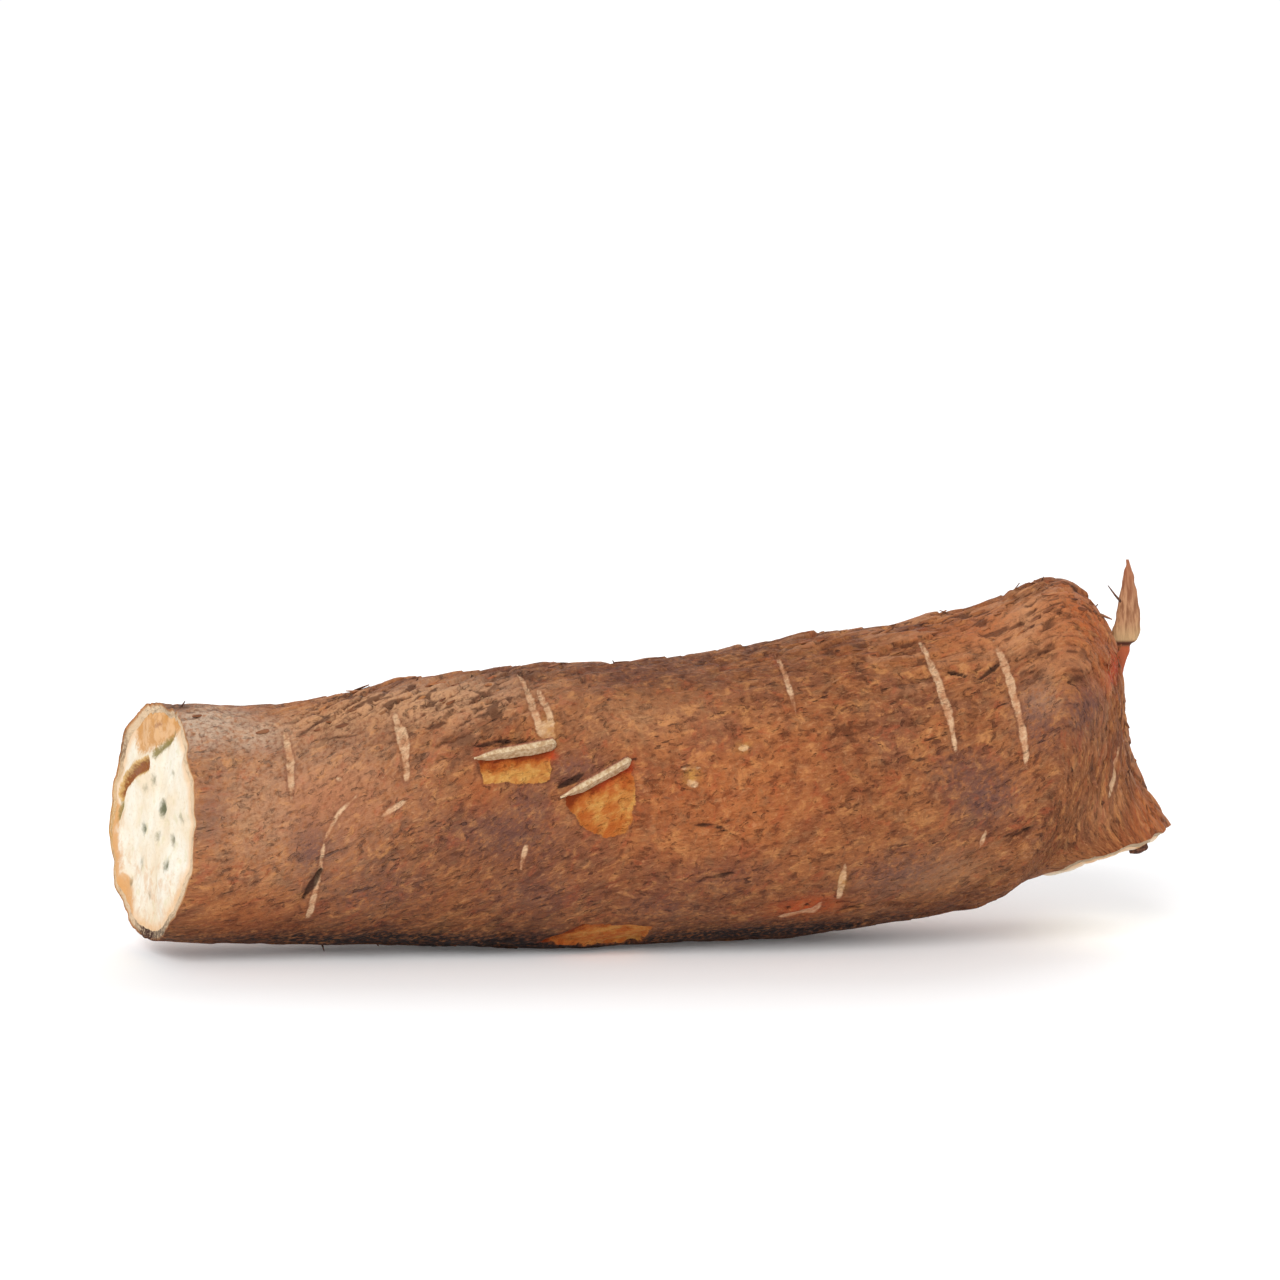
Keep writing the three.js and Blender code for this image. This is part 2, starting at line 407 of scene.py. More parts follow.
def stroke_distance(points, line):
    """Each point's distance from a line of several straight pieces."""
    best = np.full(points.shape[:-1], np.inf)
    for start, end in zip(line, line[1:]):
        piece = end - start
        share = np.clip((points - start) @ piece / (piece @ piece), 0, 1)
        best = np.minimum(best, length(points - start - share[..., None] * piece))
    return best


def inside_distance(points, corners, normal):
    """How far each point lies inside a polygon seen along normal: negative outside it."""
    middle = np.mean(corners, axis=0)
    side = unit(np.cross(normal, corners[1] - corners[0]))
    axes = np.stack([np.cross(side, normal), side], axis=1)
    flat = (points - middle) @ axes
    outline = (np.array(corners) - middle) @ axes
    inside = np.zeros(flat.shape[:-1], bool)
    for (x0, y0), (x1, y1) in zip(outline, np.roll(outline, -1, axis=0)):
        crosses = (y0 > flat[..., 1]) != (y1 > flat[..., 1])
        edge_x = x0 + (flat[..., 1] - y0) * (x1 - x0) / (y1 - y0 if y1 != y0 else 1e-9)
        inside ^= crosses & (flat[..., 0] < edge_x)
    closed = [*outline, outline[0]]
    distance = stroke_distance(flat, closed)
    facing = np.abs((points - middle) @ normal) < PATCH_REACH
    return np.where(facing, np.where(inside, distance, -distance), -1.0)


# ---- the skin ----

class Skin:
    """The roughened skin: its points and normals, and the marks that its material reads."""

    def __init__(self, loft):
        self.loft = loft
        self.marks = {}
        base = loft.points
        normals = grid_normals(base)
        height = self.relief() + self.scar_relief(base) + self.patch_relief(base, normals)
        self.tint(base, normals)
        crowd = length(np.gradient(base, axis=0))
        height *= ease(crowd, 0, 0.45 * MM)
        self.points = base + height[..., None] * normals
        self.points += self.chips()
        self.points[..., 2] = np.maximum(self.points[..., 2], BOX_LOW.z)
        self.normals = grid_normals(self.points)

    def chips(self):
        """How far the bark next to each cut is pushed along the root, in mm until the last line.
        It makes the cuts' edges ragged."""
        loft = self.loft
        ragged = 0.75 * noise(loft.flow[0], 7, 97) + 0.30 * noise(loft.flow[0], 2.4, 98)
        blunt = -0.8 + ragged - 1.0 * near(loft.down, 140, 25) + 0.7 * near(loft.down, 20, 25)
        blunt = blunt - 1.2 * near(loft.down, 265, 60)
        neck = 0.5 * noise(loft.flow[-1], 6, 99)
        run = length(loft.centre - loft.centre[0])
        back = length(loft.centre - loft.centre[-1])
        push = (1 - ease(run, 0, 7 * MM))[:, None] * blunt + (1 - ease(back, 0, 3 * MM))[:, None] * neck
        return MM * push[..., None] * loft.forward[:, None]

    def coarseness(self):
        """Where the bark is coarse and scaly (1) and where it is worn fine (0)."""
        along = self.loft.along[:, None]
        down = (self.loft.down + 180) % 360 - 180
        shoulder = near(along, 0.27, 0.13) * near(down, 15, 42)
        neck = near(along, 0.86, 0.12) * near(down, 10, 55)
        crest = 0.5 * near(along, 0.6, 0.25) * near(down, -10, 28)
        patchy = 0.5 * ease(noise(self.loft.flow, 34, 91), 0.05, 0.6)
        behind = patchy * (1 - near(down, 90, 60))
        return np.clip(0.22 + 0.8 * shoulder + 0.75 * neck + crest + behind, 0, 1)

    def relief(self):
        """Lumps, dents and a few cracks all over, and scales and more cracks where the bark is
        coarse. All heights are in mm until the last line."""
        flow = self.loft.flow
        coarse = self.coarseness()
        grain = flow * (0.30, 1, 1)
        lumps = 0.45 * noise(flow, 24, 1) + 0.30 * noise(flow, 10, 2)
        dents = 0.26 * noise(flow * (0.6, 1, 1), 4.2, 3) + 0.16 * noise(grain, 2.2, 4)
        bent = flow * (0.21, 1, 1) + 0.5 * MM * noise(flow, 5, 9)[..., None]
        slope, border, number = cells(bent, 2.5, 11)
        scales = 1.1 * slope + 0.30 * number + 0.35 * ease(border, 0, 0.5)
        groove = 1 - ease(border, 0.02, 0.22)
        torn = ease(noise(flow, 11, 22), -0.35, 0.25)
        pits = ease(noise(flow * (0.5, 1, 1), 1.9, 31), 0.46, 0.66)
        split = np.clip(1 - np.abs(noise(grain, 5.0, 21)) / 0.10, 0, 1)
        split *= ease(noise(flow, 9, 23), 0.1, 0.5)
        crack = np.maximum(groove * torn * coarse, pits * (0.12 + 0.88 * coarse))
        crack = np.maximum(crack, split * (0.35 + 0.65 * coarse))
        cut = ease(self.stroke_room(self.loft.points, SPLITS), -0.5, 0.4)
        crack = np.maximum(crack, cut)
        self.marks["crack"] = np.clip(crack, 0, 1)
        self.marks["coarse"] = coarse
        self.marks["tone"] = number * coarse
        return MM * (lumps + dents + scales * coarse ** 1.4 - 0.45 * crack)

    def stroke_room(self, base, strokes):
        """How far in mm each point lies inside the edge of the nearest stroke."""
        room = np.full(base.shape[:-1], FAR_OUTSIDE)
        for number, (half, places) in enumerate(strokes):
            line = self.loft.trace(places, base)
            share = np.linspace(0, 1, len(line) - 1)
            ragged = 1 + 0.35 * noise(np.array(line[1:]), 2.6, 101 + number)
            widths = half * ragged * (0.3 + 0.7 * np.sin(np.pi * share) ** 0.6)
            for start, end, width in zip(line, line[1:], widths):
                room = np.maximum(room, width - stroke_distance(base, (start, end)) / MM)
        return room

    def scar_relief(self, base):
        """Thin cuts and rubbed lines across the grain, and a few deep notches."""
        scar = self.stroke_room(base, SCARS)
        notch = self.stroke_room(base, NOTCHES)
        self.marks["scar"] = scar
        self.marks["notch"] = notch
        lip = near(scar, -0.5, 0.5)
        return MM * (0.14 * lip - 0.32 * ease(scar, -0.3, 0.5) - 0.9 * ease(notch, -0.5, 0.5))

    def patch_relief(self, base, normals):
        """Peeled patches: deepest along the flap, and shallow at the far edge."""
        inside = np.full(base.shape[:-1], -1.0)
        shade = np.zeros_like(inside)
        for orange, places in PATCHES.values():
            corners = [self.loft.spot(p, base) for p in places]
            normal = unit(np.mean([self.loft.spot(p, normals) for p in places], axis=0))
            room = inside_distance(base, corners, normal)
            hinge = stroke_distance(base, self.loft.trace(places[:2], base))
            # shade runs from 1 along the lifted side down to the patch's own floor 6 mm away. The hollow is
            # deepest there, and the material paints it as the peel's shadow.
            shade = np.where(room > inside, np.clip(1 - hinge / (6 * MM), orange, 1), shade)
            inside = np.maximum(inside, room)
        bare = inside / (3 * MM)
        self.marks["bare"] = np.clip(bare, -1, 1)
        self.marks["hinge"] = shade
        wobble = 0.045 * noise(self.loft.flow, 2.5, 41)
        depth = ease(bare + wobble, -0.05, 0.25) * (0.35 + 0.9 * shade)
        lip = near(bare, -0.12, 0.12) * 0.22 * (inside > -0.5)
        return MM * (lip - depth)

    def tint(self, base, normals):
        """Soft-edged areas of other colours. The shade and dark areas are painted shade, except for the dark
        crust at the blunt cut.
        """
        forward = np.gradient(base, axis=0)
        for name, areas in TINTS.items():
            mark = np.zeros(base.shape[:-1])
            for strength, *place, reach_along, reach_round in areas:
                away = base - self.loft.spot(place, base)
                way = unit(self.loft.spot(place, forward))
                along = away @ way
                across = length(away - along[..., None] * way)
                there = np.exp(-((along / reach_along) ** 2 + (across / reach_round) ** 2) / MM**2)
                facing = ease(normals @ self.loft.spot(place, normals), 0, 0.5)
                mark = np.maximum(mark, strength * there * facing)
            self.marks[name] = mark


# ---- meshes ----

SHARP_ANGLE = math.radians(55)


def strip_layout(share, turn):
    """Map places for a tube cut open along one side."""
    return np.stack([share, turn], axis=-1)


def disc_layout(share, turn):
    """Map places for a tube spread out like an umbrella from its first end."""
    angle = 2 * np.pi * turn
    return 0.5 + 0.49 * share[..., None] * np.stack([np.cos(angle), np.sin(angle)], axis=-1)


class Shape:
    """Closed tubes of rings gathered into one mesh. Each ring runs so that the way along the
    tube crossed with the way round the ring points out of it."""

    def __init__(self, name):
        self.name = name
        self.points = []
        self.faces = []
        self.layout = []
        self.marks = {}
        self.count = 0

    def tube(self, rows, flow=None, flip=False, layout=strip_layout, **marks):
        """Adds rings of points, closed by a fan at each end. A mark has a value for each point,
        each ring, each place round a ring or the whole tube. The flow is where the pattern of
        the material is looked up: at the points themselves if it isn't given."""
        rings, around = rows.shape[:2]
        ends = [rows[0].mean(axis=0), rows[-1].mean(axis=0)]
        self.points += [rows.reshape(-1, 3), ends]
        flow = np.broadcast_to(rows if flow is None else flow, rows.shape)
        marks = {name: np.broadcast_to(values, (rings, around)) for name, values in marks.items()}
        for name, values in {"flow": flow, **marks}.items():
            values = values.reshape(rings, around, -1)
            gathered = self.marks.setdefault(name, [])
            gathered += [values.reshape(rings * around, -1), values[[0, -1]].mean(axis=1)]
        i = np.arange(rings - 1)[:, None] * around
        j = np.arange(around)
        after = (j + 1) % around
        quads = np.stack([i + j, i + around + j, i + around + after, i + after], axis=-1)
        first, last = rings * around, rings * around + 1
        foot = (rings - 1) * around
        left = np.stack([first + 0 * j, j, after], axis=-1)
        right = np.stack([last + 0 * j, foot + after, foot + j], axis=-1)
        steps = length(np.diff(rows, axis=0)).mean(axis=1)
        reach = length(rows[[0, -1]] - np.array(ends)[:, None]).mean(axis=1)
        run = np.cumsum([reach[0], *steps])
        share = run / (run[-1] + reach[1])
        low, high, middle = j / around, (j + 1) / around, (j + 0.5) / around
        near_end, far_end = share[:-1, None], share[1:, None]
        self.add(quads, layout, flip, [(near_end, low), (far_end, low), (far_end, high), (near_end, high)])
        self.add(left, layout, flip, [(0, middle), (share[0], low), (share[0], high)])
        self.add(right, layout, flip, [(1, middle), (share[-1], high), (share[-1], low)])
        self.count += rings * around + 2
        return self

    def add(self, faces, layout, flip, corners):
        """Adds faces, with the map place of each corner as its share of the tube's length and
        of a turn round it."""
        places = [layout(*np.broadcast_arrays(*corner, faces[..., 0])[:2]) for corner in corners]
        places = np.stack(places, axis=-2).reshape(-1, len(corners), 2)
        faces = faces.reshape(-1, len(corners)) + self.count
        if flip:
            places, faces = places[:, ::-1], faces[:, ::-1]
        self.faces += faces.tolist()
        self.layout.append(places.reshape(-1, 2))

    def build(self, material, slot="bark", bake_map=False):
        """Makes the object, riding on the root."""
        mesh = bpy.data.meshes.new(self.name)
        mesh.from_pydata(np.concatenate(self.points), [], self.faces)
        for name, gathered in self.marks.items():
            kind, field = ("FLOAT_VECTOR", "vector") if name == "flow" else ("FLOAT", "value")
            values = np.concatenate(gathered).astype(np.float32).ravel()
            mesh.attributes.new(name, kind, "POINT").data.foreach_set(field, values)
        if bake_map:
            places = np.concatenate(self.layout).astype(np.float32).ravel()
            mesh.uv_layers.new(name="OFBake").data.foreach_set("uv", places)
        mesh.shade_smooth()
        mesh.set_sharp_from_angle(angle=SHARP_ANGLE)
        mesh.materials.append(material)
        piece = bpy.data.objects.new(self.name, mesh)
        bpy.context.scene.collection.objects.link(piece)
        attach(piece, "root")
        return piece


# ---- the cuts ----

class Cut:
    """One chopped end: its plane, its relief, and the rings of points that cross it."""

    def __init__(self, skin, ring, outward, relief):
        self.edge = skin.points[ring]
        self.centre = self.edge.mean(axis=0)
        self.up = skin.loft.up[ring]
        self.side = skin.loft.back[ring]
        self.outward = outward * skin.loft.forward[ring]
        self.relief = relief

    def places(self, points):
        """Height and depth of points in the cut, from its middle."""
        away = points - self.centre
        return away @ self.up, away @ self.side

    def ring(self, inset, share=1.0, depth=0.0):
        """The edge drawn in by inset, then by share towards the middle, and sunk by depth."""
        inward = self.centre - self.edge
        points = self.centre - share * (inward - inward * inset / length(inward)[:, None])
        lift = self.relief(*self.places(points)) * min(inset / PEEL, 1)
        return points + (lift - depth)[:, None] * self.outward

    def rim(self):
        """Rings over the rind, from the bottom of the hollow for the flesh out to the skin."""
        rings = [self.ring(PEEL * part) for part in RIM_INSETS]
        return np.array([self.ring(PEEL, depth=RECESS), *rings, self.ring(SKIN_THICKNESS)])


def skin_piece(skin, cuts, material):
    """The bark with the rind at both ends, down to the bottom of each hollow for the flesh."""
    blunt, neck = (cut.rim() for cut in cuts)
    rows = np.concatenate([blunt, skin.points, neck[::-1]])
    pad = len(blunt)
    rim = np.zeros((len(rows), 1))
    rim[:pad, 0] = RIM_MARKS
    rim[-pad:, 0] = RIM_MARKS[::-1]
    ends = ((pad, pad), (0, 0))
    marks = {name: np.pad(values, ends, mode="edge") for name, values in skin.marks.items()}
    flow = np.pad(skin.loft.flow, (*ends, (0, 0)), mode="edge")
    flow = flow * (1 - RIM_PINCH * rim[..., None])
    piece = Shape("root_skin").tube(rows, flow, rim=rim, **marks).build(material, bake_map=True)
    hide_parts(NODE)


def flesh_piece(name, cut, stains, material, flip=False):
    """A closed plug of flesh, with the cut's relief on its face."""
    shares = np.linspace(0.01, 1, FLESH_RINGS)
    top = [cut.ring(PEEL + GAP, share) for share in shares]
    rows = np.array([*top, cut.ring(PEEL + GAP, depth=PLUG)])
    edge = np.array([*shares, 1])[:, None]
    shape = Shape(name).tube(rows, flip=flip, layout=disc_layout, edge=edge, **stains(*cut.places(rows)))
    shape.build(material, "flesh", bake_map=True)


# On the blunt cut, (side, up) in mm from its middle: side is positive towards the back.
CRACK = [(6, 13.2), (13, 10.2), (20, 6.5), (21.5, 3)]
OLIVE = [(21, 2), (22, -3)]
SLOT = [(2.4, 16.1), (-5.5, 21.6)]
LOBE = [(11, 20.5), (-3, 25.5)]
LOBE_HEART = [(2, 23.5), (5, 22.5)]
BACK_RIM = [(25.5, -4), (24, -12), (20, -17.5), (12.5, -23.5)]
# Strands cut across: side, up, reach in mm, and how dark.
STRANDS = [
    (-5.2, 4.4, 2.6, 1.1), (4.9, -2.5, 2.0, 0.8), (-13.0, -1.7, 2.0, 0.75), (-12.4, -8.0, 2.1, 0.75),
    (1.6, 10.0, 2.2, 0.55), (5.9, 7.3, 1.8, 0.5), (-4.7, -2.5, 2.1, 0.5), (-17.4, 4.3, 1.8, 0.5),
    (5.2, -10.9, 2.3, 0.5), (11.8, -17.2, 1.6, 0.6), (-1.5, -17.5, 1.5, 0.45), (-9.0, 13.5, 1.4, 0.45),
]


def blunt_stains(up, side):
    flat = np.stack([side, up], axis=-1) / MM

    def line_mark(line, reach):
        """1 on a line, falling straight to 0 at reach."""
        return np.clip(1 - stroke_distance(flat, np.array(line)) / reach, 0, 1)

    strand = np.zeros(up.shape)
    for *middle, reach, dark in STRANDS:
        strand = np.maximum(strand, dark * np.clip(1.2 - length(flat - middle) / reach, 0, 1))
    return {
        "crack": line_mark(CRACK, 2.9),
        "olive": 0.8 * np.maximum(line_mark(SLOT, 2.2), line_mark(OLIVE, 2)),
        "lobe": np.maximum(0.72 * ease(line_mark(LOBE, 9), 0, 0.8), line_mark(LOBE_HEART, 4)),
        "stain": np.maximum(line_mark(BACK_RIM, 8.5), 0.24 * ease(-up / MM, 4, 14)),
        "strand": strand,
    }


def blunt_relief(up, side):
    stains = blunt_stains(up, side)
    spots = np.stack([side, up, 0 * up], axis=-1)
    uneven = 0.45 * noise(spots, 11, 51) + 0.16 * noise(spots, 3.5, 52)
    uneven += 0.10 * noise(spots * (1, 0.25, 1), 1.6, 53)
    ledge = ease(up + 0.5 * side, 17 * MM, 21 * MM)
    crack = ease(stains["crack"], 0.25, 0.8)
    slot = ease(stains["olive"], 0.3, 0.8)
    strand = ease(stains["strand"], 0.3, 1)
    return MM * (uneven - 0.9 * ledge - 1.6 * crack - 0.8 * slot - 0.5 * strand)


def neck_stains(up, side):
    spots = np.stack([side, up, 0 * up], axis=-1)
    specks = ease(noise(spots, 3.1, 61), 0.62, 0.9)
    return {"crack": 0, "olive": 0, "lobe": 0, "stain": 0.4 * near(side, -20 * MM, 8 * MM), "strand": specks}


def neck_relief(up, side):
    spots = np.stack([side, up, 0 * up], axis=-1)
    away = np.hypot(up / (17 * MM), side / (26 * MM))
    bulge = 1.4 * ease(1 - away, -0.02, 0.22)
    return MM * (bulge + 0.35 * noise(spots, 9, 62) + 0.12 * noise(spots, 2.5, 63))


# ---- small pieces ----

SQUARENESS = 0.75  # the power that makes swept ovals fuller than round


def swept(line, across, out, width, height, around):
    """Rings round a line, each an oval of half sizes width and height along across and out.
    These are given once for the whole line or for each of its points."""
    line, across, out = np.broadcast_arrays(line, across, out)
    width, height, _ = np.broadcast_arrays(width, height, line[:, 0])
    angle = np.linspace(0, 2 * np.pi, around, endpoint=False)
    round_x, round_y = (np.sign(f) * np.abs(f) ** SQUARENESS for f in (np.sin(angle), np.cos(angle)))
    wide = width[:, None, None] * round_x[:, None] * across[:, None]
    high = height[:, None, None] * round_y[:, None] * out[:, None]
    return line[:, None] + wide + high


def rod(line, hint, thickness, around):
    """A round rod along line: hint is any direction well across it."""
    way = unit(np.gradient(line, axis=0))
    across = unit(np.cross(way, hint))
    return swept(line, np.cross(across, way), across, thickness, thickness, around)


def flap_piece(name, places, skin, material):
    """A lifted lip of peel along the top of a bare patch, with its thick edge to the front."""
    loft = skin.loft
    steps = np.linspace(0, 1, 30)
    line = np.array(loft.trace(places, loft.points, len(steps)))
    out = unit(np.array(loft.trace(places, grid_normals(loft.points), len(steps))))
    across = unit(np.cross(out, unit(np.gradient(line, axis=0))))
    full = (0.25 + 0.75 * ease(steps, 0, 0.3)) * (0.35 + 0.65 * ease(1 - steps, 0, 0.04))
    thick = MM * (0.80 * full + 0.14 * noise(line, 1.5, 71))[:, None]
    deep = 1.25 * MM * full[:, None]
    angle = np.linspace(0, 2 * np.pi, 24, endpoint=False)
    face = np.clip(1.5 * np.cos(angle), -1, 1)
    edge = np.clip(1.5 * np.sin(angle), -1, 1)
    rows = line[:, None] + (deep * face)[..., None] * out[:, None]
    rows = rows + (thick * edge + 0.3 * deep * face)[..., None] * across[:, None]
    rind, bark_side = ease(0.8 * face - edge, -0.3, 0.5), ease(edge, 0.2, 0.8)
    Shape(name).tube(rows, rind=rind, bark_side=bark_side).build(material)


# Outline of the splinter from its foot up, in mm: z, left x, right x and thickness.
SPLINTER = np.array([
    [59.8, 111.6, 115.0, 0.7], [61.2, 111.0, 115.9, 1.2], [65, 111.0, 116.6, 1.6],
    [69.6, 112.0, 118.0, 1.8], [71.6, 113.0, 118.4, 1.2], [72.6, 113.5, 119.7, 2.0],
    [75, 113.8, 120.6, 2.2], [78, 114.6, 120.7, 2.1], [82, 115.3, 120.2, 1.9],
    [86, 116.0, 119.5, 1.6], [89.5, 116.7, 118.7, 1.1], [92.4, 117.3, 117.9, 0.5],
])
SPLINTER_HAIR = [(115.9, -2.3, 82.0), (114.4, -2.6, 83.6), (113.2, -2.4, 85.2), (112.5, -2.1, 86.2)]


def splinter_piece(material):
    """The strip of bark that stands up beside the neck: a blade over a tapering red root."""
    z, left, right, thick = MM * blend_rows(SPLINTER, np.linspace(0, len(SPLINTER) - 1, 70)).T
    heights = np.stack([0 * z, 0 * z, z], axis=1)
    left = left + 0.18 * MM * noise(heights, 1.3, 81)
    right = right + 0.18 * MM * noise(heights, 1.7, 82)
    height = (z - z[0]) / np.ptp(z)
    line = np.stack([(left + right) / 2, MM * (1.2 * height ** 2 - 2.5), z], axis=1)
    rows = swept(line, (0, -1.0, 0), (1.0, 0, 0), thick / 2, (right - left) / 2, 28)
    rows[..., 1] += 0.22 * MM * noise(rows * (1, 1, 0.12), 0.8, 83)
    Shape("splinter").tube(rows, height=height[:, None]).build(material)


def flake_piece(skin, material):
    """Loose scales of bark, lying along the grain with one end lifted."""
    rng = np.random.default_rng(FLAKE_SEED)
    loft = skin.loft
    shape = Shape("bark_flakes")
    around = unit(np.roll(skin.points, -1, axis=1) - np.roll(skin.points, 1, axis=1))
    along = unit(np.gradient(loft.points, axis=0))
    taper = np.array([0.55, 0.95, 1.0, 0.85, 0.6, 0.2])  # its width from root to lifted tip
    share = np.linspace(0, 1, len(taper))
    made = 0
    while made < FLAKE_COUNT:
        i = int(rng.integers(4, RING_COUNT - 12))
        j = int(rng.integers(RING_POINTS))
        chance, size, lift, tone, swing = rng.random(5)
        blocked = skin.marks["bare"][i, j] > -0.6 or skin.marks["scar"][i, j] > -1
        crowded = length(loft.points[i + 1, j] - loft.points[i, j]) < 0.4 * MM
        if blocked or crowded or chance > skin.marks["coarse"][i, j] ** 4:
            continue
        normal = skin.normals[i, j]
        way = unit(along[i, j] + (loft.slope[i, j] + 0.5 * (swing - 0.5)) * around[i, j])
        way = unit(way - normal * (way @ normal))
        if rng.random() < 0.5:
            way = -way
        reach = share * (1.6 + 3.2 * size ** 2) * MM
        rise = (0.02 + 0.24 * lift) * MM * share ** 2 - 0.11 * MM
        line = skin.points[i, j] + reach[:, None] * way + rise[:, None] * normal
        width = (0.35 + 0.4 * size) * MM * taper
        rows = swept(line, np.cross(way, normal), normal, width, 0.12 * MM, 8)
        rows[..., 2] = np.maximum(rows[..., 2], BOX_LOW.z)
        flow = loft.flow[i, j] + 0.3 * (rows - rows[0, 0])
        shape.tube(rows, flow, tone=1.2 * tone - 0.7, coarse=1)
        made += 1
    shape.build(material)


# Rootlets: where on the skin (along, down), the length in mm, and the lean along the root.
ROOTLETS = [
    (0.877, 8, 1.6, -0.2), (0.85, 352, 1.8, 0.5), (0.055, 2, 2.2, 0.8), (0.19, 172, 2.0, 0.3),
    (0.34, 176, 1.8, -0.4), (0.24, 168, 1.4, 0.6), (0.70, 150, 1.4, 0.7), (0.76, 158, 1.6, 0.4),
    (0.60, 8, 1.5, 0.6), (0.47, 355, 1.3, -0.7), (0.64, 240, 2.6, 0.4), (0.35, 230, 2.2, -0.6),
    (0.85, 300, 2.4, 0.6), (0.15, 265, 2.0, 0.8), (0.51, 290, 2.4, 0.2), (0.28, 5, 1.6, 0.9),
]


def rootlet_piece(skin, material):
    """Thin broken rootlets that stand out of the skin, and one on the splinter."""
    lines = [MM * np.array(SPLINTER_HAIR)]
    normals = grid_normals(skin.loft.points)
    share = np.linspace(0, 1, 8)[:, None]
    for number, (*place, reach, lean) in enumerate(ROOTLETS):
        out = unit(skin.loft.spot(place, normals))
        line = share * unit(out + (lean, 0, 0.25)) + 0.25 * share**2 * np.roll(out, number)
        line = skin.loft.spot(place, skin.points) + reach * MM * line - 0.6 * MM * out
        line[:, 2] = np.maximum(line[:, 2], BOX_LOW.z + 0.4 * MM)
        lines.append(line)
    shape = Shape("rootlets")
    for line in lines:
        thin = MM * np.linspace(0.34, 0.10, len(line))
        shape.tube(rod(line, (0, 1, 0.2), thin, 8))
    shape.build(material)


def neck_nub_piece(cut, material):
    """The dark stump of a strand that hangs under the neck's lowest edge."""
    share = np.linspace(0, 1, 12)[:, None]
    line = cut.centre + 4.0 * MM * cut.up - 19 * MM * cut.side + 1.7 * MM * cut.outward
    line = line + 4.4 * MM * share * cut.up + 0.3 * MM * np.sin(5 * share) * cut.side
    thickness = 1.25 * MM * np.sin(np.pi * (0.08 + 0.84 * share[:, 0])) ** 0.6
    rows = rod(line, cut.outward, thickness, 18)
    rows += (0.22 * MM * noise(rows, 1.2, 95))[..., None] * cut.outward
    Shape("neck_nub").tube(rows).build(material)


# ---- materials ----

LIGHT = 1.30  # how much brighter the studio makes a front face than its own colour
MIX_A, MIX_B, MIX_OUT = 6, 7, 2  # a mix node's sockets for colours
NOISE_LOW, NOISE_HIGH = 0.3, 0.7  # what noise from 0 to 1 mostly keeps between


def colour(red, green, blue):
    """A colour given as it looks on a screen in the studio's light, from 0 to 255, as the
    shader takes it."""
    screen = (c / 255 for c in (red, green, blue))
    linear = (c / 12.92 if c <= 0.04045 else ((c + 0.055) / 1.055) ** 2.4 for c in screen)
    return (*(c / LIGHT for c in linear), 1.0)


